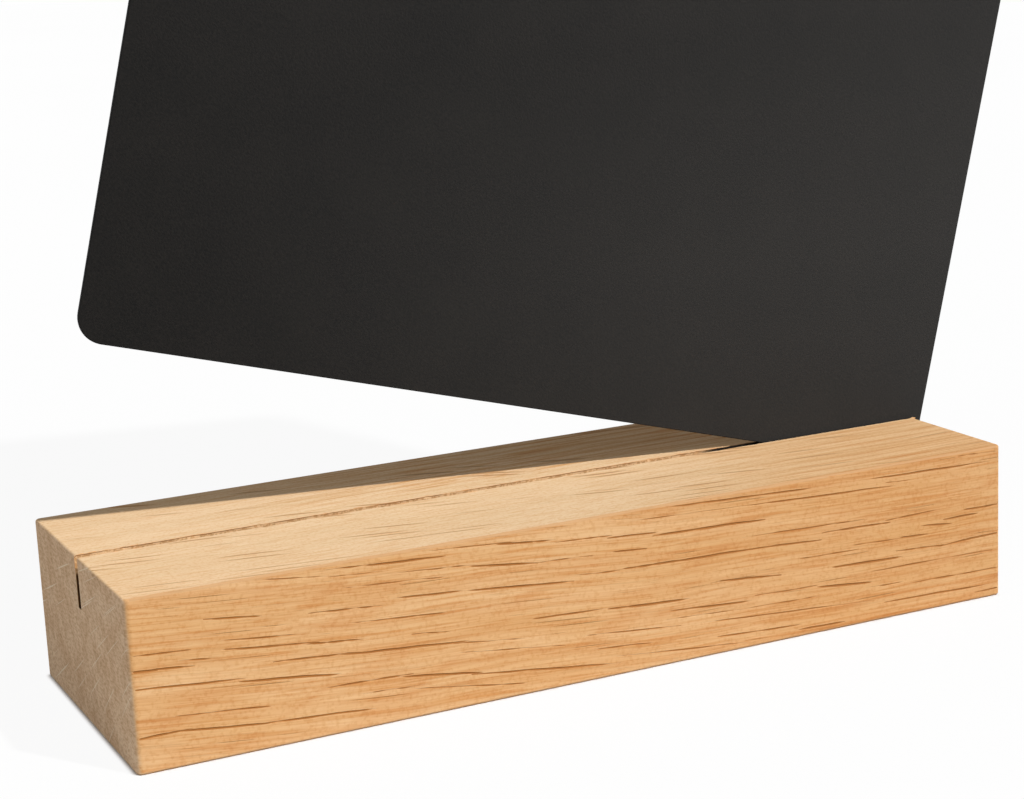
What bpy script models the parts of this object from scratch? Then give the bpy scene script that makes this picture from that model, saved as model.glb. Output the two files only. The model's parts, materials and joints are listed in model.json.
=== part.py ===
"""Table sign holder: an oak foot with a saw slot along its top, and a thin black sign panel.

The panel stands in the slot on its rounded lower right corner, turned clockwise in its own
plane, and leans back as far as the slot's play lets it. Metres, +Z up. The origin is the
middle of the foot's underside, +X runs along the foot towards the end where the panel
stands, and -Y is the front.
"""

import math

import bmesh
import bpy
from mathutils import Vector

# Foot, sawn and planed from one piece of oak, with the grain along X
FOOT_LENGTH = 0.146
FOOT_DEPTH = 0.049
FOOT_HEIGHT = 0.0253
FOOT_EDGE_RADIUS = 0.0009
FOOT_EDGE_SEGMENTS = 4

# Slot, one pass of the saw from end to end
SLOT_DEPTH = 0.0077

# Panel, an upright A5 sheet
PANEL_WIDTH = 0.148
PANEL_HEIGHT = 0.210
PANEL_THICKNESS = 0.0008
PANEL_CORNER_RADIUS = 0.004
PANEL_CORNER_STEPS = 12

# How the panel stands: it turns about the middle of its lower right corner's rounding, which
# lies this far in from the foot's right end
PANEL_TILT = math.radians(15.5)
PANEL_LEAN = math.radians(2.6)
PANEL_INSET = 0.0032

# Air between the panel and the slot's walls, and under the panel
PANEL_CLEARANCE = 0.0003

# A cutter runs this far past the faces that it opens
CUTTER_OVERRUN = 0.002

# Name: colour (linear red, green, blue), roughness, metallic
FINISHES = {
    "oiled_oak": ((0.694, 0.397, 0.174), 0.62, 0.0),
    "matt_black": ((0.023, 0.022, 0.021), 0.55, 0.0),
}


def clear_scene():
    for thing in list(bpy.data.objects):
        bpy.data.objects.remove(thing)


def new_collection(name):
    collection = bpy.data.collections.new(name)
    bpy.context.scene.collection.children.link(collection)
    return collection


def finish(thing, name):
    colour, roughness, metallic = FINISHES[name]
    material = bpy.data.materials.new(name)
    material.use_nodes = True
    shader = material.node_tree.nodes["Principled BSDF"]
    shader.inputs["Base Color"].default_value = (*colour, 1.0)
    shader.inputs["Roughness"].default_value = roughness
    shader.inputs["Metallic"].default_value = metallic
    thing.data.materials.append(material)


def add_box(name, collection, size, centre):
    mesh = bpy.data.meshes.new(name)
    box = bmesh.new()
    bmesh.ops.create_cube(box, size=1.0)
    bmesh.ops.scale(box, vec=Vector(size), verts=box.verts)
    box.to_mesh(mesh)
    box.free()
    thing = bpy.data.objects.new(name, mesh)
    thing.location = centre
    collection.objects.link(thing)
    return thing


def panel_pivot():
    """The middle of the corner's rounding, with the corner just clear of the slot's floor."""
    drop = PANEL_CORNER_RADIUS * math.cos(PANEL_LEAN) + PANEL_THICKNESS / 2 * math.sin(PANEL_LEAN)
    return Vector(
        (
            FOOT_LENGTH / 2 - PANEL_INSET,
            0.0,
            FOOT_HEIGHT - SLOT_DEPTH + PANEL_CLEARANCE + drop,
        )
    )


def slot_width():
    """What the leaning panel takes up at the slot's mouth or at its foot, with air on both sides."""
    above = FOOT_HEIGHT - panel_pivot().z
    at_mouth = above * math.tan(PANEL_LEAN) + PANEL_THICKNESS / 2 / math.cos(PANEL_LEAN)
    at_foot = PANEL_CORNER_RADIUS * math.sin(PANEL_LEAN) + PANEL_THICKNESS / 2 * math.cos(PANEL_LEAN)
    return 2 * (max(at_mouth, at_foot) + PANEL_CLEARANCE)


def build_foot(parts, cutters):
    foot = add_box(
        "oak_foot",
        parts,
        (FOOT_LENGTH, FOOT_DEPTH, FOOT_HEIGHT),
        (0.0, 0.0, FOOT_HEIGHT / 2),
    )
    easing = foot.modifiers.new("eased edges", "BEVEL")
    easing.width = FOOT_EDGE_RADIUS
    easing.segments = FOOT_EDGE_SEGMENTS
    easing.limit_method = "NONE"

    cutter = add_box(
        "saw_slot",
        cutters,
        (FOOT_LENGTH + 2 * CUTTER_OVERRUN, slot_width(), SLOT_DEPTH + CUTTER_OVERRUN),
        (0.0, 0.0, FOOT_HEIGHT - SLOT_DEPTH / 2 + CUTTER_OVERRUN / 2),
    )
    cutter.hide_render = True
    cutter.display_type = "WIRE"
    slot = foot.modifiers.new("saw slot", "BOOLEAN")
    slot.operation = "DIFFERENCE"
    slot.object = cutter
    finish(foot, "oiled_oak")
    return foot


def rounded_outline():
    """The panel's outline, with the middle of the lower right corner's rounding at the origin."""
    right = PANEL_CORNER_RADIUS
    left = right - PANEL_WIDTH
    bottom = -PANEL_CORNER_RADIUS
    top = bottom + PANEL_HEIGHT
    radius = PANEL_CORNER_RADIUS
    middles = (
        (right - radius, bottom + radius, -90),
        (right - radius, top - radius, 0),
        (left + radius, top - radius, 90),
        (left + radius, bottom + radius, 180),
    )
    points = []
    for x, y, start in middles:
        for step in range(PANEL_CORNER_STEPS + 1):
            angle = math.radians(start + 90 * step / PANEL_CORNER_STEPS)
            points.append((x + radius * math.cos(angle), y + radius * math.sin(angle)))
    return points


def build_panel(parts):
    """The outline as a filled flat curve, hung on an empty whose own Z is the tilt axis."""
    pivot = bpy.data.objects.new("panel_tilt_axis", None)
    pivot.location = panel_pivot()
    pivot.rotation_euler = (math.pi / 2 - PANEL_LEAN, 0.0, 0.0)
    pivot.empty_display_size = PANEL_CORNER_RADIUS
    parts.objects.link(pivot)

    curve = bpy.data.curves.new("sign_panel", "CURVE")
    curve.dimensions = "2D"
    curve.fill_mode = "BOTH"
    curve.extrude = PANEL_THICKNESS / 2
    outline = rounded_outline()
    spline = curve.splines.new("POLY")
    spline.points.add(len(outline) - 1)
    for point, (x, y) in zip(spline.points, outline):
        point.co = (x, y, 0.0, 1.0)
    spline.use_cyclic_u = True

    panel = bpy.data.objects.new("sign_panel", curve)
    panel.parent = pivot
    panel.rotation_euler = (0.0, 0.0, -PANEL_TILT)
    parts.objects.link(panel)
    finish(panel, "matt_black")
    return panel


def build():
    clear_scene()
    parts = new_collection("table_sign_holder")
    cutters = new_collection("cutters")
    build_foot(parts, cutters)
    build_panel(parts)


build()
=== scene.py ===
"""Looks of the table sign holder: an oiled oak foot with a saw slot, and a matt black sign panel.

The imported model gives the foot's box and the panel's hinge, and every piece is placed from
those. Lengths are metres, except where a name or a comment says millimetres.
"""

import json
import math
import random
from types import SimpleNamespace

import bmesh
import bpy
from mathutils import Matrix, Vector, noise


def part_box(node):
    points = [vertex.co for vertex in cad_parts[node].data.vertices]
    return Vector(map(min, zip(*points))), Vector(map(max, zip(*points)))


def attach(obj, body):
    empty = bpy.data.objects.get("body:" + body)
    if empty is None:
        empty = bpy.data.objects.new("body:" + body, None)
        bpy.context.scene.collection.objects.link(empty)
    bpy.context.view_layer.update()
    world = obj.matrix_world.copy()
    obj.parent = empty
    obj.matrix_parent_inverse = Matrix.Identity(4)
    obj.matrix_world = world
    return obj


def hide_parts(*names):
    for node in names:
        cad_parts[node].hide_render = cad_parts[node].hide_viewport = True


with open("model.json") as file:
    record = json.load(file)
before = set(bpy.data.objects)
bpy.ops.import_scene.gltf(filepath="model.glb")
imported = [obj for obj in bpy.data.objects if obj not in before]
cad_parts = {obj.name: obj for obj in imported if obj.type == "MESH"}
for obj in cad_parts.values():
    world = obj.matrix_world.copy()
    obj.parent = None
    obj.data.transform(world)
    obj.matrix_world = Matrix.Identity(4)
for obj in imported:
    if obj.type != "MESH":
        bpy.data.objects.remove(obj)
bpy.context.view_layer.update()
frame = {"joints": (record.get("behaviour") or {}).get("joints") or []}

MM = 0.001

# Oak foot: planed and sawn to size, sanded by hand, and sawn once along the middle of its top
FOOT_LOW, FOOT_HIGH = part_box("oak_foot")
FOOT_MIDDLE = (FOOT_LOW + FOOT_HIGH) / 2
FOOT_HALF = (FOOT_HIGH - FOOT_LOW) / 2
FOOT_TOP = FOOT_HIGH.z
CORNER_EASE = 0.0009
CORNER_STEPS = 8
ARRIS_EASE = 0.0004
ARRIS_STEPS = 5

# Slot: a saw blade's width, with its mouth torn wider here and there. Its cutter runs on past the
# foot. The steps are levels below the top in millimetres, each with its share of the tear. Along
# the slot there are 100 pieces of 3 parts, because one subdivide makes no more than 100.
SLOT_WIDTH = 0.0015
SLOT_DEPTH = 0.0079
SLOT_OVERRUN = 0.002
SLOT_STEPS = ((0.0, 1.0), (0.15, 0.6), (0.4, 0.2), (0.9, 0.0))
SLOT_PIECES = 100
SLOT_PIECE_PARTS = 3
# The tears follow noise where it is above a level. The length is its wave length along the slot,
# and the slot's two sides read it far apart. Its settings are smoothness, fineness and octaves.
TEAR_LENGTH_MM = 2.6
TEAR_WIDTH_MM = 0.5
TEAR_WIDEST_MM = 0.45
TEAR_LEVEL = 0.12
TEAR_SIDES_APART = 7.3
TEAR_NOISE = (0.8, 2.2, 3)

# Torn slivers that are too small to place one by one
SLIVER_SEED = 5
SLIVER_COUNT = 46

# Sign panel: an upright A5 sheet with rounded corners and rubbed-down edges
PANEL_WIDTH = 0.148
PANEL_HEIGHT = 0.210
PANEL_THICKNESS = 0.0008
PANEL_CORNER = 0.004
PANEL_CORNER_STEPS = 14
PANEL_RUBBED_EDGE = 0.00012
PANEL_GRID = 12
# The thin sheet is held at one corner, and its far edge leans back this much more
PANEL_TWIST_DEG = 1.0
TILT = frame["joints"][0]

# Viewpoint of the photograph, solved from the foot's edges
CAMERA_AT = (-0.146039, -0.306357, 0.114558)
CAMERA_AIM = (-0.002334, 0.0, 0.038784)
CAMERA_LENS_MM = 78.108
CAMERA_SENSOR_MM = 36.0
CAMERA_ROLL_DEG = -2.672

# Studio: a white room, a hard lamp in front on the right, and a dim screen that shows only as a
# sheen towards the panel's right side
ROOM_LEVEL = 0.275
ROOM_LEVEL_TO_THE_RIGHT = -0.25
LAMP_LEVEL = 3.05
LAMP_ACROSS_DEG = 1.8
LAMP_TOWARDS = (0.5, -0.76, 1.0)
SCREEN_WATTS = 122.0
SCREEN_COLOUR = (1.0, 0.965, 0.93)
SCREEN_SIZE = (1.2, 1.6)
SCREEN_DISTANCE = 1.6
SCREEN_RISE = 0.1
SCREEN_BEARING_DEG = 48
FLOOR_SIZE = 6.0
FLOOR_OWN_GLOW = 0.94
FLOOR_CONTACT = 0.0008

# How the tree grew, in millimetres: its heart runs along the foot, in front of it and above it
HEART_Y_MM = -64.0
HEART_Z_MM = 40.0
RING_MM = 2.7
# An angle round the heart counts as millimetres at this distance from it
ARC_RADIUS_MM = 60.0
# The fibres' fall towards the right, in millimetres for each millimetre: at the foot's middle,
# and how much less for each millimetre further on
FIBRE_FALL = 0.0525
FIBRE_FALL_LOSS = 0.000514

# Vessels that the sanding laid open. Each is a spindle, flatter than it is wide, blunt at its
# ends, cut from just outside the surface and a little past the ends that show.
VESSEL_FLATNESS = 0.6
VESSEL_BLUNTNESS = -0.2
VESSEL_PROUD = 0.02 * MM
VESSEL_TIP_MM = 0.7
VESSEL_FULLNESS = 1.02
VESSEL_WAVER_UP = 0.10 * MM
VESSEL_WAVER_OUT = 0.07 * MM
BACK_SEED, BACK_VESSELS = 11, 80
UNDERSIDE_SEED, UNDERSIDE_VESSELS = 23, 70

# Open vessels that stand out on the front, in millimetres from the foot's middle and from the
# table: left end along and up, right end along and up, width
FRONT_VESSELS_MM = (
    (-44.3, 24.5, -36.5, 24.1, 0.28), (-38.0, 24.1, -26.0, 23.4, 0.42),
    (-54.6, 25.0, -43.0, 23.4, 0.20), (-43.0, 23.4, -36.0, 22.8, 0.26),
    (-33.0, 22.2, -21.0, 21.3, 0.26), (-21.5, 21.3, -11.3, 19.8, 0.42),
    (-41.0, 21.4, -26.0, 20.3, 0.24), (-61.5, 20.6, -54.2, 19.5, 0.38),
    (-46.4, 18.7, -36.0, 17.8, 0.30), (-34.4, 18.6, -23.0, 17.7, 0.34),
    (-22.5, 17.7, -5.5, 16.0, 0.40), (-73.4, 17.3, -64.7, 16.6, 0.32),
    (-59.3, 17.1, -48.7, 15.9, 0.30), (-59.5, 15.8, -46.0, 14.2, 0.38),
    (-47.5, 14.3, -38.5, 13.3, 0.36), (-73.4, 15.1, -69.6, 14.6, 0.44),
    (-69.2, 14.8, -64.4, 14.2, 0.38), (-65.6, 15.4, -60.2, 14.6, 0.30),
    (-40.0, 16.1, -25.0, 14.9, 0.30), (-73.4, 12.5, -57.0, 11.0, 0.36),
    (-57.2, 10.7, -43.0, 8.9, 0.46), (-52.0, 12.6, -40.0, 11.6, 0.34),
    (-43.0, 11.8, -23.0, 10.0, 0.42), (-24.5, 10.1, -14.2, 8.7, 0.30),
    (-31.8, 12.8, -24.5, 11.9, 0.24), (-66.8, 7.6, -53.2, 6.2, 0.32),
    (-44.4, 7.3, -32.0, 6.8, 0.34), (-33.5, 6.8, -21.0, 4.8, 0.40),
    (-22.0, 4.9, 1.8, 1.8, 0.38), (-73.4, 5.3, -65.5, 5.3, 0.40),
    (-67.0, 5.4, -54.0, 3.8, 0.42), (-54.1, 4.0, -38.0, 2.7, 0.36),
    (-39.2, 5.3, -30.0, 4.8, 0.22), (-31.0, 4.5, -13.7, 1.7, 0.30),
    (-27.5, 24.6, -15.0, 23.7, 0.28), (-17.0, 23.8, -8.4, 22.8, 0.38),
    (-7.8, 22.4, 1.0, 22.0, 0.26), (1.3, 21.7, 8.8, 21.2, 0.34),
    (8.8, 20.8, 27.8, 20.1, 0.46), (3.8, 23.7, 30.0, 22.6, 0.24),
    (28.0, 22.7, 52.2, 21.7, 0.34), (11.0, 24.8, 37.0, 23.7, 0.38),
    (-11.0, 19.9, -2.0, 19.4, 0.22), (1.6, 19.4, 6.8, 19.0, 0.32),
    (-4.4, 16.9, 2.7, 16.3, 0.32), (3.6, 16.5, 13.0, 16.1, 0.42),
    (12.0, 16.1, 24.5, 15.8, 0.44), (24.0, 15.9, 37.9, 15.1, 0.36),
    (-11.6, 11.5, 0.2, 10.8, 0.34), (0.8, 10.7, 14.0, 9.7, 0.46),
    (11.6, 8.4, 25.0, 7.5, 0.40), (20.0, 11.7, 30.4, 10.7, 0.38),
    (-25.2, 8.7, -7.4, 6.4, 0.24), (-3.0, 7.3, 12.4, 5.8, 0.26),
    (-2.0, 4.9, 7.4, 4.0, 0.30), (2.0, 3.0, 24.0, 0.9, 0.28),
    (10.3, 7.2, 23.0, 6.5, 0.20), (22.5, 6.5, 37.8, 6.0, 0.28),
    (16.9, 5.6, 48.0, 3.4, 0.26), (19.0, 2.8, 34.0, 2.0, 0.34),
    (38.4, 25.2, 42.6, 25.0, 0.30), (48.3, 23.5, 70.0, 22.9, 0.36),
    (64.5, 24.7, 73.4, 24.3, 0.26), (24.4, 17.9, 43.2, 17.2, 0.32),
    (39.0, 16.2, 50.9, 15.8, 0.38), (50.6, 16.2, 60.8, 16.4, 0.34),
    (66.0, 15.6, 73.4, 15.4, 0.38), (62.2, 14.6, 67.9, 14.6, 0.38),
    (57.8, 14.2, 62.9, 13.7, 0.38), (44.8, 13.2, 54.0, 12.8, 0.28),
    (53.5, 13.0, 58.8, 12.6, 0.36), (34.4, 12.7, 44.8, 12.4, 0.32),
    (53.0, 10.9, 62.5, 10.3, 0.34), (61.0, 10.3, 73.4, 10.7, 0.40),
    (40.8, 10.3, 53.2, 9.8, 0.46), (26.6, 8.2, 37.2, 7.8, 0.30),
    (47.2, 8.4, 71.0, 7.9, 0.34), (38.0, 7.5, 47.1, 6.6, 0.46),
    (47.2, 5.8, 53.2, 5.6, 0.26), (55.0, 5.1, 73.4, 4.7, 0.34),
    (50.4, 2.8, 70.1, 2.2, 0.36), (34.4, 1.2, 42.0, 0.9, 0.40),
    (68.2, 1.3, 73.0, 1.3, 0.26), (51.0, 22.5, 55.0, 22.2, 0.22),
)  # fmt: skip

# Torn slivers that show, in millimetres from the top's middle: along, across, up, length and
# thickness, then how far they swing across and rise along, in degrees
TORN_FIBRES_MM = (
    (72.7, -0.86, -0.04, 1.1, 0.30, -3, 3),
    (-72.2, 0.95, -0.06, 1.5, 0.26, 4, 5),
    (-70.6, 0.92, -0.02, 1.9, 0.20, -2, 4),
    (-69.1, -0.66, -0.05, 1.7, 0.18, 3, -2),
    (-64.5, 0.90, -0.04, 2.2, 0.17, -1, 3),
)


def linear(code):
    """An sRGB hex code as linear red, green, blue and alpha."""
    steps = [int(code[i : i + 2], 16) / 255 for i in (1, 3, 5)]
    return (*[s / 12.92 if s <= 0.04045 else ((s + 0.055) / 1.055) ** 2.4 for s in steps], 1.0)


def new_material(name):
    made = bpy.data.materials.new(name)
    made.use_nodes = True
    made.node_tree.nodes.clear()
    return made, made.node_tree


def add(tree, kind, inputs=(), **settings):
    """Adds a node. Its inputs go by socket name or number, and each is a value, or a node or an
    output to link."""
    made = tree.nodes.new("ShaderNode" + kind)
    for name, value in settings.items():
        setattr(made, name, value)
    for socket, value in dict(inputs).items():
        if isinstance(value, bpy.types.Node):
            value = value.outputs[0]
        if isinstance(value, bpy.types.NodeSocket):
            tree.links.new(value, made.inputs[socket])
        else:
            made.inputs[socket].default_value = value
    return made


def share_of(tree, *factors):
    """Multiplies factors into a share from 0 to 1. A factor is a share itself, or a reading with
    the two values at which its share is 0 and 1, smooth between."""
    share = None
    for factor in factors:
        if isinstance(factor, tuple):
            reading, none, full = factor
            limits = {"Value": reading, "From Min": none, "From Max": full}
            factor = add(tree, "MapRange", limits, interpolation_type="SMOOTHSTEP")
        if share is None:
            share = factor
        else:
            share = add(tree, "Math", {0: share, 1: factor}, operation="MULTIPLY")
    return share


def painted(tree, colour, *coats):
    """Colour with coats over it. A coat has its colour, how it mixes and its share's factors."""
    for coat, how, *factors in coats:
        inputs = {0: share_of(tree, *factors), 6: colour, 7: coat}
        colour = add(tree, "Mix", inputs, data_type="RGBA", blend_type=how).outputs[2]
    return colour


def grow_oak(tree):
    """Follows the tree. Gives millimetre coordinates along the grain, round the rings and out from
    the heart, and how squarely the surface cuts the rings' radius: 1 where it lies along a ring."""
    place = add(tree, "TexCoord").outputs["Object"]
    mm = add(tree, "VectorMath", {0: place, "Scale": 1 / MM}, operation="SCALE")
    # The grain wanders by a millimetre or so over the foot's length
    sway = add(tree, "TexNoise", {"Vector": mm, "Scale": 0.022, "Detail": 1.0}).outputs["Color"]
    centred = add(tree, "VectorMath", {0: sway, 1: (0.5, 0.5, 0.5)}, operation="SUBTRACT")
    wander = {0: centred, 1: (0.0, 3.0, 3.0), 2: mm}
    swayed = add(tree, "VectorMath", wander, operation="MULTIPLY_ADD")
    x, y, z = add(tree, "SeparateXYZ", {0: swayed}).outputs
    slope = {0: x, 1: -FIBRE_FALL_LOSS / 2, 2: FIBRE_FALL}
    bend = add(tree, "Math", slope, operation="MULTIPLY_ADD")
    level = add(tree, "Math", {0: x, 1: bend, 2: z}, operation="MULTIPLY_ADD")
    out_y = add(tree, "Math", {0: y, 1: HEART_Y_MM}, operation="SUBTRACT")
    out_z = add(tree, "Math", {0: level, 1: HEART_Z_MM}, operation="SUBTRACT")
    out = add(tree, "CombineXYZ", {"Y": out_y, "Z": out_z})
    radius = add(tree, "VectorMath", {0: out}, operation="LENGTH").outputs["Value"]
    turn = add(tree, "Math", {0: out_z, 1: out_y}, operation="ARCTAN2")
    arc = add(tree, "Math", {0: turn, 1: ARC_RADIUS_MM}, operation="MULTIPLY")
    grain = add(tree, "CombineXYZ", {"X": x, "Y": arc, "Z": radius}).outputs[0]
    faces = add(tree, "TexCoord").outputs["Normal"]
    outward = add(tree, "VectorMath", {0: out}, operation="NORMALIZE")
    square = add(tree, "VectorMath", {0: faces, 1: outward}, operation="DOT_PRODUCT")
    flat_cut = add(tree, "Math", {0: square.outputs["Value"]}, operation="ABSOLUTE").outputs[0]
    return grain, radius, flat_cut


def depth_under_surface(tree):
    """Millimetres below the planed faces and eased edges, so more than 0 in vessels and slot."""
    place = add(tree, "TexCoord").outputs["Object"]
    scaled = add(tree, "VectorMath", {0: place, "Scale": 1 / MM}, operation="SCALE")
    middle = [c / MM for c in FOOT_MIDDLE]
    centred = add(tree, "VectorMath", {0: scaled, 1: middle}, operation="SUBTRACT")
    mirrored = add(tree, "VectorMath", {0: centred}, operation="ABSOLUTE")
    corner, arris = CORNER_EASE / MM, ARRIS_EASE / MM
    core = (FOOT_HALF.x / MM - corner, FOOT_HALF.y / MM - corner, FOOT_HALF.z / MM - arris)
    past = add(tree, "VectorMath", {0: mirrored, 1: core}, operation="SUBTRACT")
    x, y, z = add(tree, "SeparateXYZ", {0: past}).outputs

    def rounded(one, other):
        """How far past a rounding's middle line a point lies, from its two distances."""
        both = add(tree, "CombineXYZ", {"X": one, "Y": other})
        outside = add(tree, "VectorMath", {0: both, 1: (0.0, 0.0, 0.0)}, operation="MAXIMUM")
        length = add(tree, "VectorMath", {0: outside}, operation="LENGTH").outputs["Value"]
        larger = add(tree, "Math", {0: one, 1: other}, operation="MAXIMUM")
        inside = add(tree, "Math", {0: larger, 1: 0.0}, operation="MINIMUM")
        return add(tree, "Math", {0: length, 1: inside}, operation="ADD")

    wall = add(tree, "Math", {0: rounded(x, y), 1: corner - arris}, operation="SUBTRACT")
    return add(tree, "Math", {0: arris, 1: rounded(wall, z)}, operation="SUBTRACT").outputs[0]


def read_wood(tree):
    """What the wood shows at each point, for its colours to be mixed by."""
    grain, radius, flat_cut = grow_oak(tree)
    place = add(tree, "TexCoord").outputs["Object"]
    wood = SimpleNamespace(place=place, depth=depth_under_surface(tree))
    wood.x, wood.y, wood.z = add(tree, "SeparateXYZ", {0: place}).outputs
    wood.normal = add(tree, "SeparateXYZ", {0: add(tree, "TexCoord").outputs["Normal"]}).outputs

    def pattern(kind, along, across, out, **inputs):
        """A texture in cells of these millimetres along the grain, round the rings and outwards."""
        sizes = (1 / along, 1 / across, 1 / out)
        cells = add(tree, "VectorMath", {0: grain, 1: sizes}, operation="MULTIPLY")
        return add(tree, kind, {"Vector": cells, "Scale": 1.0, **inputs})

    # The surface lies flatter along the rings on the front, and the right end shows more grain
    along = add(tree, "SeparateXYZ", {0: grain}).outputs["X"]
    wood.right_end = share_of(tree, (along, -5.0, 60.0))
    flatter = {0: wood.right_end, 1: 0.22, 2: flat_cut}
    wood.flat = share_of(tree, (add(tree, "Math", flatter, operation="MULTIPLY_ADD"), 0.30, 0.75))
    busier = {0: wood.right_end, 1: 0.45, 2: wood.flat}
    wood.busy = add(tree, "Math", busier, operation="MULTIPLY_ADD", use_clamp=True)

    # Growth rings of uneven width. Each starts with a band of wide vessels.
    wave = {"W": radius, "Scale": 0.12, "Detail": 1.0}
    uneven = add(tree, "TexNoise", wave, noise_dimensions="1D")
    shifted = add(tree, "Math", {0: uneven, 1: 1.3}, operation="MULTIPLY")
    count = add(tree, "Math", {0: radius, 1: 1 / RING_MM, 2: shifted}, operation="MULTIPLY_ADD")
    ring = add(tree, "Math", {0: count}, operation="FRACT")
    wood.early = share_of(tree, (ring, 0.45, 0.10))

    # Narrower vessels that only touch the surface, 0.1 to 0.3 mm across
    touching = pattern("TexVoronoi", 26.0, 0.50, 0.50)
    own = add(tree, "SeparateColor", {0: touching.outputs["Color"]}).outputs[0]
    widest = {0: share_of(tree, own, wood.early), 1: 0.22, 2: 0.08}
    reach = add(tree, "Math", widest, operation="MULTIPLY_ADD")
    span = {0: reach, 1: touching.outputs["Distance"]}
    inside = add(tree, "Math", span, operation="SUBTRACT")
    wood.vessel = share_of(tree, (inside, -0.02, 0.09))
    wood.pore = share_of(tree, (inside, -0.05, 0.10))

    # Fibres: bundles half a millimetre across, and the finest ones that still show
    wood.fibre = pattern("TexNoise", 22.0, 0.55, 0.55, Detail=3.0, Roughness=0.62)
    wood.hair = pattern("TexNoise", 7.0, 0.16, 0.16, Detail=2.0)

    # Rays: sheets that stand out from the heart, 0.16 mm thick. On the ends only some show.
    sheets = pattern("TexVoronoi", 24.0, 0.42, 24.0)
    lot = add(tree, "SeparateColor", {0: sheets.outputs["Color"]}).outputs[0]
    wood.ray = share_of(tree, (sheets.outputs["Distance"], 0.27, 0.12))
    wood.end_ray = share_of(tree, (sheets.outputs["Distance"], 0.24, 0.10), (lot, 0.52, 0.80))

    # Slow change of tone along the board, and the orange figure that crosses the grain. The
    # figure's cells are counted to the metre, and are 21 mm long, 11 mm deep and 4 mm high.
    patch = pattern("TexNoise", 34.0, 5.0, 5.0, Detail=3.0)
    wood.patch = share_of(tree, (patch, 0.30, 0.70))
    rotated = {"Vector": place, "Rotation": (0.0, math.radians(22.0), 0.0)}
    turned = add(tree, "Mapping", rotated)
    cells = add(tree, "VectorMath", {0: turned, 1: (48.0, 90.0, 230.0)}, operation="MULTIPLY")
    figure = {"Vector": cells, "Scale": 1.0, "Detail": 2.0, "Roughness": 0.45}
    wood.figure = add(tree, "TexNoise", figure)

    # Cut fibre ends and dust in the oil, as specks half a millimetre across: 1900 to the metre
    wood.speck = add(tree, "TexNoise", {"Vector": place, "Scale": 1900.0, "Detail": 1.0})
    return wood


def paint_sides(tree, wood):
    """Warm tan where the rings lie flat, paler where they stand on edge."""
    pale = painted(tree, linear("#efcea4"), (linear("#f5d5ad"), "MIX", wood.patch))
    warm = painted(tree, linear("#e9b77e"), (linear("#f0c38f"), "MIX", wood.patch))

    # The rings' bands show on the top's right end. Behind the slot, where the panel's shadow falls,
    # the bands and streaks are painted stronger and darker: real grain with painted shade over it
    right_top = {0: wood.flat, 1: -0.75, 2: wood.busy}
    on_right_top = add(tree, "Math", right_top, operation="MULTIPLY_ADD")
    shaded_behind_slot = share_of(tree, (wood.y, 0.001, 0.009), (wood.x, -0.055, -0.015))
    banding = {0: shaded_behind_slot, 1: 0.55, 2: on_right_top}
    banded = add(tree, "Math", banding, operation="MULTIPLY_ADD", use_clamp=True)
    shaded_behind_slot_more = add(tree, "Math", {0: shaded_behind_slot, 1: 0.8}, operation="MULTIPLY")
    lively = add(tree, "Math", {0: wood.busy, 1: 0.42, 2: shaded_behind_slot_more}, operation="MULTIPLY_ADD")
    streaky = add(tree, "Math", {0: lively, 1: 0.42}, operation="ADD")
    vessels = add(tree, "Math", {0: wood.flat, 1: 0.45, 2: 0.06}, operation="MULTIPLY_ADD")
    rays = add(tree, "Math", {0: wood.flat, 1: -0.72, 2: 0.92}, operation="MULTIPLY_ADD")

    # The eased edges along the foot are painted darker, as painted shade that tones down the lamp's
    # highlight on them
    across_edge = {0: wood.normal["Y"], 1: wood.normal["Z"]}
    product = add(tree, "Math", across_edge, operation="MULTIPLY")
    edge = add(tree, "Math", {0: product}, operation="ABSOLUTE")

    return painted(
        tree,
        painted(tree, pale, (warm, "MIX", wood.flat)),
        (linear("#f9f2e8"), "MULTIPLY", wood.right_end, 0.9),
        (linear("#eed2b4"), "MULTIPLY", (wood.figure, 0.54, 0.70), wood.flat, 0.30),
        # Painted shade over real grain: bands and streaks stronger and darker behind the slot,
        # where the panel's shadow falls
        (linear("#ecd2b2"), "MULTIPLY", wood.early, banded),
        (linear("#ecd2b0"), "MULTIPLY", (wood.fibre, 0.42, 0.72), streaky),
        (linear("#e8cba6"), "MULTIPLY", (wood.hair, 0.45, 0.75), 0.42),
        (linear("#efdcc2"), "MULTIPLY", (wood.speck, 0.48, 0.72), 0.45),
        (linear("#b07d45"), "MIX", wood.vessel, vessels),
        (linear("#c2905e"), "MIX", wood.ray, rays),
        # Painted shade: darker on the eased edges along the foot
        (linear("#cfa173"), "MIX", (edge, 0.04, 0.30), 0.9, (wood.depth, 0.008, 0.004)),
    )


def paint_ends(tree, wood):
    """The ends drink more oil and show grey brown, with the rays as pale lines."""
    # Mottled in flecks that are 1.1 mm wide and 0.4 mm high, counted to the metre
    flecks = {0: wood.place, 1: (300.0, 900.0, 2400.0)}
    cells = add(tree, "VectorMath", flecks, operation="MULTIPLY")
    rough = {"Vector": cells, "Scale": 1.0, "Detail": 3.0, "Roughness": 0.65}
    mottle = add(tree, "TexNoise", rough)
    return painted(
        tree,
        linear("#e6c29c"),
        (linear("#f4d5b2"), "MIX", wood.patch),
        (linear("#e0cdb4"), "MULTIPLY", wood.early, 0.15),
        (linear("#8f6c48"), "MIX", wood.pore, 0.85),
        (linear("#d6bfa6"), "MULTIPLY", (mottle, 0.40, 0.66), 0.6),
        (linear("#fff0d8"), "MIX", wood.end_ray, 0.65),
    )


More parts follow.
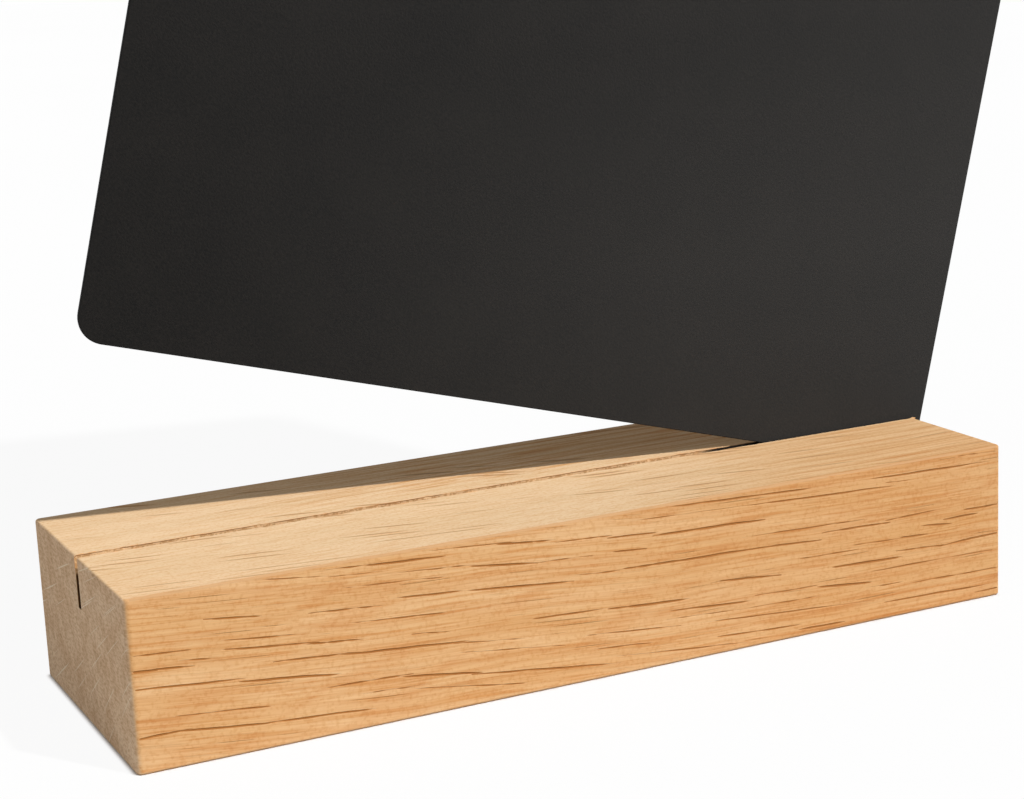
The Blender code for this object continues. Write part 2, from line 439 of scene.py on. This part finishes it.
def paint_cuts(tree, wood, faces):
    """Colours inside the open vessels and the slot, over the colour of the faces round them, with
    painted shade deep in the slot and a painted shadow where the panel stands.
    """
    # In an open vessel the oil has gathered dust. The slot isn't one.
    from_slot = add(tree, "Math", {0: wood.y}, operation="ABSOLUTE")
    beside_slot = share_of(tree, (from_slot, 0.0014, 0.0018))
    below_slot = share_of(tree, (wood.z, 0.018, 0.016))
    clear = add(tree, "Math", {0: beside_slot, 1: below_slot}, operation="MAXIMUM")

    # The saw left crumbs on the slot's walls. Its far lip is darker brown in patches, about 4 mm
    # long, counted to the metre
    in_slot = share_of(tree, (wood.depth, 0.03, 0.10), (from_slot, 0.0013, 0.0011))
    darker = (linear("#c39a6c"), "MIX", (wood.speck, 0.42, 0.58))
    crumbs = painted(tree, linear("#eccb9f"), darker)
    spots = add(tree, "VectorMath", {0: wood.place, 1: (230.0, 500.0, 500.0)}, operation="MULTIPLY")
    lip_patch_noise = add(tree, "TexNoise", {"Vector": spots, "Scale": 1.0, "Detail": 2.0})
    far_lip = ((wood.y, 0.0005, 0.0006), (wood.y, 0.0016, 0.0013))
    just_inside = ((wood.depth, 0.02, 0.05), (wood.depth, 0.18, 0.11))
    near_top = (wood.z, FOOT_TOP - 0.0004, FOOT_TOP - 0.0003)
    far_lip_patches = (*far_lip, *just_inside, near_top, (lip_patch_noise, 0.38, 0.56))

    # Deep down the walls are painted dark brown, above the slot's floor, as painted shade. Where
    # the panel's shadow falls in the slot they are painted black, as a painted shadow.
    deep_slot_shade = (wood.z, FOOT_TOP - 0.0025, FOOT_TOP - 0.0032)
    above_floor = (wood.z, FOOT_TOP - 0.0083, FOOT_TOP - 0.0079)
    panel_shadow_in_slot = (wood.x, 0.0305, 0.0345)
    return painted(
        tree,
        faces,
        (linear("#ab7036"), "MIX", (wood.depth, 0.006, 0.055), clear),
        (crumbs, "MIX", in_slot, 0.7),
        # Darker brown patches along the far lip, just inside the slot
        (linear("#87582c"), "MIX", *far_lip_patches, 0.85),
        # Painted shade: dark brown deep in the slot
        (linear("#54361d"), "MIX", in_slot, deep_slot_shade, above_floor),
        # Painted shadow: black in the slot where the panel's shadow falls
        (linear("#1a120c"), "MIX", in_slot, panel_shadow_in_slot),
    )


def oiled_oak():
    """Oak, planed, sanded fine and oiled: satin wood with open vessels as dark lines and rays as
    faint flecks. The oil darkens it most where it is rough or cut across the grain."""
    material, tree = new_material("oak_sanded_and_oiled")
    wood = read_wood(tree)
    facing = add(tree, "Math", {0: wood.normal["X"]}, operation="ABSOLUTE")
    ends = (paint_ends(tree, wood), "MIX", (facing, 0.45, 0.95))
    faces = painted(tree, paint_sides(tree, wood), ends)
    coloured = paint_cuts(tree, wood, faces)

    sunk = add(tree, "Math", {0: wood.vessel, 1: -1.0}, operation="MULTIPLY")
    height = add(tree, "Math", {0: wood.fibre, 1: 0.6, 2: sunk}, operation="MULTIPLY_ADD")
    bump = add(tree, "Bump", {"Height": height, "Distance": 0.00008, "Strength": 0.7})
    shader = add(
        tree,
        "BsdfPrincipled",
        {
            "Base Color": coloured,
            "Roughness": 0.72,
            "IOR": 1.48,
            "Specular IOR Level": 0.08,
            "Normal": bump,
        },
    )
    add(tree, "OutputMaterial", {"Surface": shader})
    return material


def matt_black():
    """A chalk panel's black laminate: matt, with a fine even tooth that catches a little light."""
    material, tree = new_material("chalk_panel_black")
    place = add(tree, "TexCoord").outputs["Object"]
    # The real tooth is a tenth of a millimetre, and is drawn three times as coarse so that it
    # shows, 3000 to the metre. Cloudy patches 11 mm wide lie over it.
    fine = {"Vector": place, "Scale": 3000.0, "Detail": 2.0, "Roughness": 0.7}
    tooth = add(tree, "TexNoise", fine)
    cloud = add(tree, "TexNoise", {"Vector": place, "Scale": 90.0, "Detail": 4.0})
    mixed = add(tree, "Math", {0: cloud, 1: 0.35, 2: tooth}, operation="MULTIPLY_ADD")
    grained = add(tree, "MapRange", {"Value": mixed, "From Min": 0.45, "From Max": 0.90})
    # Painted light: the black is lighter towards the lower right, a painted sheen
    x, _, z = add(tree, "SeparateXYZ", {0: place}).outputs
    rightwards = add(tree, "MapRange", {"Value": x, "From Min": -0.055, "From Max": 0.03})
    downwards = add(tree, "MapRange", {"Value": z, "From Min": 0.092, "From Max": 0.055})
    black = painted(
        tree,
        linear("#0c0c0c"),
        (linear("#1c1a18"), "MIX", grained),
        # Painted sheen towards the lower right
        (linear("#1b1a19"), "ADD", rightwards, downwards),
    )
    bump = add(tree, "Bump", {"Height": tooth, "Distance": 0.00004, "Strength": 0.6})
    shader = add(
        tree,
        "BsdfPrincipled",
        {
            "Base Color": black,
            "Roughness": 0.57,
            "IOR": 1.5,
            "Specular IOR Level": 0.045,
            "Normal": bump,
        },
    )
    add(tree, "OutputMaterial", {"Surface": shader})
    return material


def choose_edges(piece, wanted):
    """Selects, in edit mode, only the edges that the test wants."""
    bpy.ops.mesh.select_mode(type="EDGE")
    bpy.ops.mesh.select_all(action="DESELECT")
    shape = bmesh.from_edit_mesh(piece.data)
    for edge in shape.edges:
        if wanted(edge):
            edge.select_set(True)
    shape.select_flush_mode()
    bmesh.update_edit_mesh(piece.data)


def run(edge, axis):
    """How far an edge runs along X, Y or Z."""
    return abs(edge.verts[0].co[axis] - edge.verts[1].co[axis])


def start_block(name, low, high):
    """A box between two corners, left in edit mode with everything selected."""
    bpy.ops.object.select_all(action="DESELECT")
    low, high = Vector(low), Vector(high)
    bpy.ops.mesh.primitive_cube_add(size=1.0, location=(low + high) / 2, scale=high - low)
    bpy.ops.object.transform_apply(location=True, rotation=True, scale=True)
    piece = bpy.context.object
    piece.name = piece.data.name = name
    bpy.ops.object.mode_set(mode="EDIT")
    bpy.ops.mesh.select_all(action="SELECT")
    return piece


def cut_away(piece, cutter, crossing=True):
    """Cuts a piece, and removes the cutter. A cutter that crosses itself takes longer."""
    bpy.ops.object.select_all(action="DESELECT")
    piece.select_set(True)
    bpy.context.view_layer.objects.active = piece
    cut = piece.modifiers.new(cutter.name, "BOOLEAN")
    cut.operation = "DIFFERENCE"
    cut.object = cutter
    cut.use_self = crossing
    bpy.ops.object.modifier_apply(modifier=cut.name)
    bpy.data.objects.remove(cutter)


def make_slot_cutter():
    """What the saw takes away: a blade's width, with the mouth torn wider here and there."""
    half = SLOT_WIDTH / 2
    cutter = start_block(
        "slot_cutter",
        (FOOT_LOW.x - SLOT_OVERRUN, -half, FOOT_TOP - SLOT_DEPTH),
        (FOOT_HIGH.x + SLOT_OVERRUN, half, FOOT_TOP + SLOT_OVERRUN),
    )
    for drop, _ in SLOT_STEPS:
        bpy.ops.mesh.select_all(action="SELECT")
        level = (0.0, 0.0, FOOT_TOP - drop * MM)
        bpy.ops.mesh.bisect(plane_co=level, plane_no=(0.0, 0.0, 1.0))
    choose_edges(cutter, lambda e: run(e, 0) > CORNER_EASE)
    bpy.ops.mesh.subdivide(number_cuts=SLOT_PIECES - 1)
    choose_edges(cutter, lambda e: run(e, 0) > 0.1 * MM)
    bpy.ops.mesh.subdivide(number_cuts=SLOT_PIECE_PARTS - 1)
    bpy.ops.object.mode_set(mode="OBJECT")
    for vertex in cutter.data.vertices:
        depth = (FOOT_TOP - vertex.co.z) / MM
        share = next((share for drop, share in SLOT_STEPS if depth < drop + 0.05), 0.0)
        side = 1 if vertex.co.y > 0 else -1
        spot = Vector((vertex.co.x / (TEAR_LENGTH_MM * MM), side * TEAR_SIDES_APART, 0.0))
        tear = max(0.0, noise.fractal(spot, *TEAR_NOISE) - TEAR_LEVEL) * TEAR_WIDTH_MM * MM
        vertex.co.y += side * share * min(tear, TEAR_WIDEST_MM * MM)
    return cutter


def copies_of(pattern, name, places):
    """One object of many copies of a pattern piece, which is removed."""
    bpy.ops.object.select_all(action="DESELECT")
    for place in places:
        shape = pattern.data.copy()
        shape.transform(place)
        piece = bpy.data.objects.new(name, shape)
        bpy.context.collection.objects.link(piece)
        piece.select_set(True)
        bpy.context.view_layer.objects.active = piece
    bpy.data.objects.remove(pattern)
    bpy.ops.object.join()
    joined = bpy.context.object
    joined.name = joined.data.name = name
    return joined


def make_vessel_cutter(name, lines):
    """Thin spindles that lay vessels open, one for each left end, right end and width."""
    bpy.ops.object.select_all(action="DESELECT")
    along_x = (0.0, math.pi / 2, 0.0)
    bpy.ops.mesh.primitive_uv_sphere_add(segments=6, ring_count=12, rotation=along_x)
    bpy.ops.object.transform_apply(location=True, rotation=True, scale=True)
    spindle = bpy.context.object
    for vertex in spindle.data.vertices:
        slim = max(0.001, 1.0 - vertex.co.x**2) ** VESSEL_BLUNTNESS
        vertex.co.y *= slim
        vertex.co.z *= slim
    places = []
    for left, right, width in lines:
        along = right - left
        turn = along.to_track_quat("X", "Z").to_matrix().to_4x4()
        # The opening is wide and shallow: the sanding takes off a vessel's upper half and more
        flat_y = VESSEL_FLATNESS if abs(left.y) > abs(FOOT_HIGH.y) else 1.0
        flat_z = VESSEL_FLATNESS if left.z < FOOT_LOW.z else 1.0
        size = Matrix.Diagonal((along.length / 2, flat_y * width / 2, flat_z * width / 2, 1.0))
        places.append(Matrix.Translation((left + right) / 2) @ turn @ size)
    cutter = copies_of(spindle, name, places)
    # A vessel isn't quite straight, and lies open more here and less there
    for vertex in cutter.data.vertices:
        x, y, z = vertex.co / MM
        vertex.co.z += VESSEL_WAVER_UP * noise.noise(Vector((x / 4, y / 2, z / 6)))
        vertex.co.y += VESSEL_WAVER_OUT * noise.noise(Vector((x / 1.5, y / 2, z / 2 + 40)))
    return cutter


def scattered_vessels(seed, count, spot_at):
    """Vessels that follow the grain. spot_at gives the surface's point for a place along, a share
    of the way across and a drop in millimetres."""
    chance = random.Random(seed)
    lines = []
    for _ in range(count):
        along = chance.uniform(-76, 70)
        across = chance.uniform(0.02, 0.98)
        length = chance.uniform(4, 17)
        fall = FIBRE_FALL - FIBRE_FALL_LOSS * along
        width = chance.uniform(0.18, 0.44) * MM
        left = spot_at(along, across, 0.0)
        right = spot_at(along + length, across, -fall * length)
        lines.append((left, right, width))
    return lines


def front_vessels():
    """The vessels that stand out on the front, where the photograph shows them."""
    ahead = FOOT_LOW.y - VESSEL_PROUD
    lines = []
    for x0, z0, x1, z1, width in FRONT_VESSELS_MM:
        left = Vector(((x0 - VESSEL_TIP_MM) * MM, ahead, z0 * MM))
        right = Vector(((x1 + VESSEL_TIP_MM) * MM, ahead, z1 * MM))
        lines.append((left, right, VESSEL_FULLNESS * width * MM))
    return lines


def on_back(along, share_up, drop):
    up = share_up * (FOOT_HIGH.z - FOOT_LOW.z) + drop * MM
    return Vector((along * MM, FOOT_HIGH.y + VESSEL_PROUD, FOOT_LOW.z + up))


def on_underside(along, share_back, drop):
    back = share_back * (FOOT_HIGH.y - FOOT_LOW.y) + drop * MM
    return Vector((along * MM, FOOT_LOW.y + back, FOOT_LOW.z - VESSEL_PROUD))


def make_foot():
    """The block with its upright edges eased first, then all edges round its top and underside."""
    foot = start_block("oak_foot_block", FOOT_LOW, FOOT_HIGH)
    choose_edges(foot, lambda e: run(e, 2) > CORNER_EASE)
    bpy.ops.mesh.bevel(offset=CORNER_EASE, segments=CORNER_STEPS, affect="EDGES")
    choose_edges(foot, lambda e: run(e, 2) < ARRIS_EASE)
    bpy.ops.mesh.bevel(offset=ARRIS_EASE, segments=ARRIS_STEPS, affect="EDGES")
    bpy.ops.object.mode_set(mode="OBJECT")

    vessels = front_vessels()
    vessels += scattered_vessels(BACK_SEED, BACK_VESSELS, on_back)
    vessels += scattered_vessels(UNDERSIDE_SEED, UNDERSIDE_VESSELS, on_underside)
    cut_away(foot, make_slot_cutter(), crossing=False)
    cut_away(foot, make_vessel_cutter("vessels", vessels))
    return foot


def make_torn_fibres():
    """Slivers that the saw tore up along the slot's mouth, a few of them big enough to see."""
    bpy.ops.object.select_all(action="DESELECT")
    bpy.ops.mesh.primitive_cube_add(size=1.0)
    sliver = bpy.context.object
    bpy.ops.object.mode_set(mode="EDIT")
    choose_edges(sliver, lambda e: run(e, 0) > 0.5)
    bpy.ops.mesh.subdivide(number_cuts=5)
    bpy.ops.mesh.select_all(action="SELECT")
    bpy.ops.mesh.bevel(offset=0.04, segments=2, affect="EDGES")
    bpy.ops.object.mode_set(mode="OBJECT")
    for vertex in sliver.data.vertices:
        taper = 1.0 - 0.75 * abs(2 * vertex.co.x) ** 1.5
        vertex.co.y *= taper
        vertex.co.z *= taper
    chance = random.Random(SLIVER_SEED)
    placed = list(TORN_FIBRES_MM)
    for _ in range(SLIVER_COUNT):
        side = chance.choice((-1, 1))
        along = chance.uniform(-72.5, 72.0)
        long = chance.uniform(0.7, 2.2)
        thick = chance.uniform(0.08, 0.17)
        across = side * (SLOT_WIDTH / 2 / MM + chance.uniform(0.06, 0.14))
        up = chance.uniform(-0.08, 0.01)
        placed.append((along, across, up, long, thick, chance.uniform(-2, 2), 0.0))
    places = []
    for along, across, up, long, thick, swing, rise in placed:
        places.append(
            Matrix.Translation(Vector((along, across, FOOT_TOP / MM + up)) * MM)
            @ Matrix.Rotation(math.radians(swing), 4, "Z")
            @ Matrix.Rotation(math.radians(-rise), 4, "Y")
            @ Matrix.Diagonal((long * MM, thick * MM, thick * MM, 1.0))
        )
    return copies_of(sliver, "slot_torn_fibres", places)


def make_panel():
    """The sheet is drawn upright, with the middle of its lower right corner's rounding at the
    origin, then twisted, and set on the hinge as it stands in the photograph."""
    right, bottom = PANEL_CORNER, -PANEL_CORNER
    left, top = right - PANEL_WIDTH, bottom + PANEL_HEIGHT
    middle = ((left + right) / 2, 0.0, (bottom + top) / 2)
    bpy.ops.object.select_all(action="DESELECT")
    bpy.ops.mesh.primitive_plane_add(size=1.0, location=middle, rotation=(math.pi / 2, 0.0, 0.0))
    panel = bpy.context.object
    panel.name = panel.data.name = "chalk_sign_panel"
    panel.scale = (PANEL_WIDTH, PANEL_HEIGHT, 1.0)
    bpy.ops.object.transform_apply(location=True, rotation=True, scale=True)
    bpy.ops.object.mode_set(mode="EDIT")
    bpy.ops.mesh.select_all(action="SELECT")
    bpy.ops.mesh.bevel(offset=PANEL_CORNER, segments=PANEL_CORNER_STEPS, affect="VERTICES")
    # A grid of cuts lets the sheet take its twist
    for step in range(1, PANEL_GRID):
        across = left + PANEL_WIDTH * step / PANEL_GRID
        up = bottom + PANEL_HEIGHT * step / PANEL_GRID
        bpy.ops.mesh.select_all(action="SELECT")
        bpy.ops.mesh.bisect(plane_co=(across, 0, 0), plane_no=(1, 0, 0))
        bpy.ops.mesh.select_all(action="SELECT")
        bpy.ops.mesh.bisect(plane_co=(0, 0, up), plane_no=(0, 0, 1))
    bpy.ops.object.mode_set(mode="OBJECT")
    sheet = panel.modifiers.new("sheet", "SOLIDIFY")
    sheet.thickness = PANEL_THICKNESS
    sheet.offset = 0.0
    bpy.ops.object.modifier_apply(modifier=sheet.name)
    rub = panel.modifiers.new("rubbed edge", "BEVEL")
    rub.width = PANEL_RUBBED_EDGE
    rub.segments = 3
    rub.limit_method = "ANGLE"
    rub.angle_limit = math.radians(60)
    bpy.ops.object.modifier_apply(modifier=rub.name)

    for vertex in panel.data.vertices:
        share = (right - vertex.co.x) / PANEL_WIDTH
        vertex.co.y += math.tan(math.radians(PANEL_TWIST_DEG)) * share * (vertex.co.z - bottom)
    axis = TILT["axis"]
    panel.data.transform(
        Matrix.Translation(TILT["pos_m"])
        @ Matrix.Rotation(math.atan2(axis[2], axis[1]), 4, "X")
        @ Matrix.Rotation(math.radians(-TILT["range_deg"][0]), 4, "Y")
    )
    bpy.ops.object.select_all(action="DESELECT")
    panel.select_set(True)
    bpy.context.view_layer.objects.active = panel
    bpy.ops.object.shade_smooth_by_angle(angle=math.radians(10))
    return panel


def make_floor():
    """A white sweep. Light comes off it as off a pale table, and the eye sees it near white, with
    the shadow thinned out except in a thin line where the foot meets it."""
    bpy.ops.object.select_all(action="DESELECT")
    bpy.ops.mesh.primitive_plane_add(size=FLOOR_SIZE)
    floor = bpy.context.object
    floor.name = floor.data.name = "floor"
    material, tree = new_material("white_paper_sweep")
    place = add(tree, "TexCoord").outputs["Object"]
    dust = add(tree, "TexNoise", {"Vector": place, "Scale": 3.0})
    white = add(tree, "MapRange", {"Value": dust, "To Min": 0.985, "To Max": 1.0})
    contact = add(tree, "AmbientOcclusion", {"Distance": FLOOR_CONTACT}, samples=8)
    opening = {"Value": contact.outputs["AO"], "From Min": 0.5, "From Max": 0.95}
    own_glow = add(tree, "MapRange", {**opening, "To Max": FLOOR_OWN_GLOW})
    glow = add(tree, "Emission", {"Color": (1.0, 1.0, 1.0, 1.0), "Strength": white})
    paper = add(tree, "BsdfDiffuse", {"Color": (0.95, 0.95, 0.95, 1.0)})
    plain = add(tree, "BsdfDiffuse", {"Color": (0.5, 0.5, 0.5, 1.0)})
    eye = add(tree, "MixShader", {0: own_glow, 1: paper, 2: glow})
    seen = seen_directly(tree)
    add(tree, "OutputMaterial", {"Surface": add(tree, "MixShader", {0: seen, 1: plain, 2: eye})})
    floor.data.materials.append(material)
    return floor


def seen_directly(tree):
    """1 for what the eye sees, straight or in a mirror or through glass, and 0 for lighting."""
    path = add(tree, "LightPath").outputs
    seen = path["Is Camera Ray"]
    for other in ("Is Glossy Ray", "Is Transmission Ray"):
        seen = add(tree, "Math", {0: seen, 1: path[other]}, operation="MAXIMUM")
    return seen


def light_the_studio():
    """The room and its two lights. The eye sees the room plain white."""
    world = bpy.data.worlds.new("white_studio")
    bpy.context.scene.world = world
    world.use_nodes = True
    tree = world.node_tree
    tree.nodes.clear()
    heading = add(tree, "SeparateXYZ", {0: add(tree, "TexCoord").outputs["Generated"]}).outputs["X"]
    fall = {0: heading, 1: ROOM_LEVEL_TO_THE_RIGHT, 2: ROOM_LEVEL}
    room = add(tree, "Math", fall, operation="MULTIPLY_ADD")
    level = add(tree, "Mix", {0: seen_directly(tree), 2: room, 3: 1.0}, data_type="FLOAT")
    white = {"Color": (1.0, 1.0, 1.0, 1.0), "Strength": level.outputs[0]}
    add(tree, "OutputWorld", {"Surface": add(tree, "Background", white)})

    lamp = bpy.data.lights.new("key_lamp", "SUN")
    lamp.energy = LAMP_LEVEL
    lamp.angle = math.radians(LAMP_ACROSS_DEG)
    key = bpy.data.objects.new("key_lamp", lamp)
    key.rotation_euler = Vector(LAMP_TOWARDS).to_track_quat("Z", "Y").to_euler()
    bpy.context.collection.objects.link(key)

    screen = bpy.data.lights.new("side_screen", "AREA")
    screen.shape = "RECTANGLE"
    screen.size, screen.size_y = SCREEN_SIZE
    screen.energy = SCREEN_WATTS
    screen.color = SCREEN_COLOUR
    sheen = bpy.data.objects.new("side_screen", screen)
    bearing = math.radians(SCREEN_BEARING_DEG)
    away = Vector((math.sin(bearing), -math.cos(bearing), SCREEN_RISE))
    sheen.location = away * SCREEN_DISTANCE
    sheen.rotation_euler = away.to_track_quat("Z", "Y").to_euler()
    sheen.visible_diffuse = False
    sheen.visible_camera = False
    bpy.context.collection.objects.link(sheen)


def place_camera():
    """The camera, with its roll turned about its own line of sight."""
    forward = (Vector(CAMERA_AIM) - Vector(CAMERA_AT)).normalized()
    level = forward.cross(Vector((0.0, 0.0, 1.0))).normalized()
    rise = level.cross(forward)
    roll = math.radians(CAMERA_ROLL_DEG)
    across = math.cos(roll) * level + math.sin(roll) * rise
    up = across.cross(forward)
    lens = bpy.data.cameras.new("camera")
    lens.lens = CAMERA_LENS_MM
    lens.sensor_fit = "HORIZONTAL"
    lens.sensor_width = CAMERA_SENSOR_MM
    lens.clip_start = 0.01
    camera = bpy.data.objects.new("camera", lens)
    turn = Matrix((across, up, -forward)).transposed().to_4x4()
    camera.matrix_world = Matrix.Translation(CAMERA_AT) @ turn
    bpy.context.collection.objects.link(camera)
    bpy.context.scene.camera = camera


oak = oiled_oak()
foot = make_foot()
foot.data.materials.clear()
foot.data.materials.append(oak)
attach(foot, "foot")
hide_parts("oak_foot")

torn_fibres = make_torn_fibres()
torn_fibres.data.materials.append(oak)
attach(torn_fibres, "foot")

panel = make_panel()
panel.data.materials.append(matt_black())
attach(panel, "panel")
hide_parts("sign_panel")

make_floor()
light_the_studio()
place_camera()
bpy.context.scene.view_settings.view_transform = "Standard"
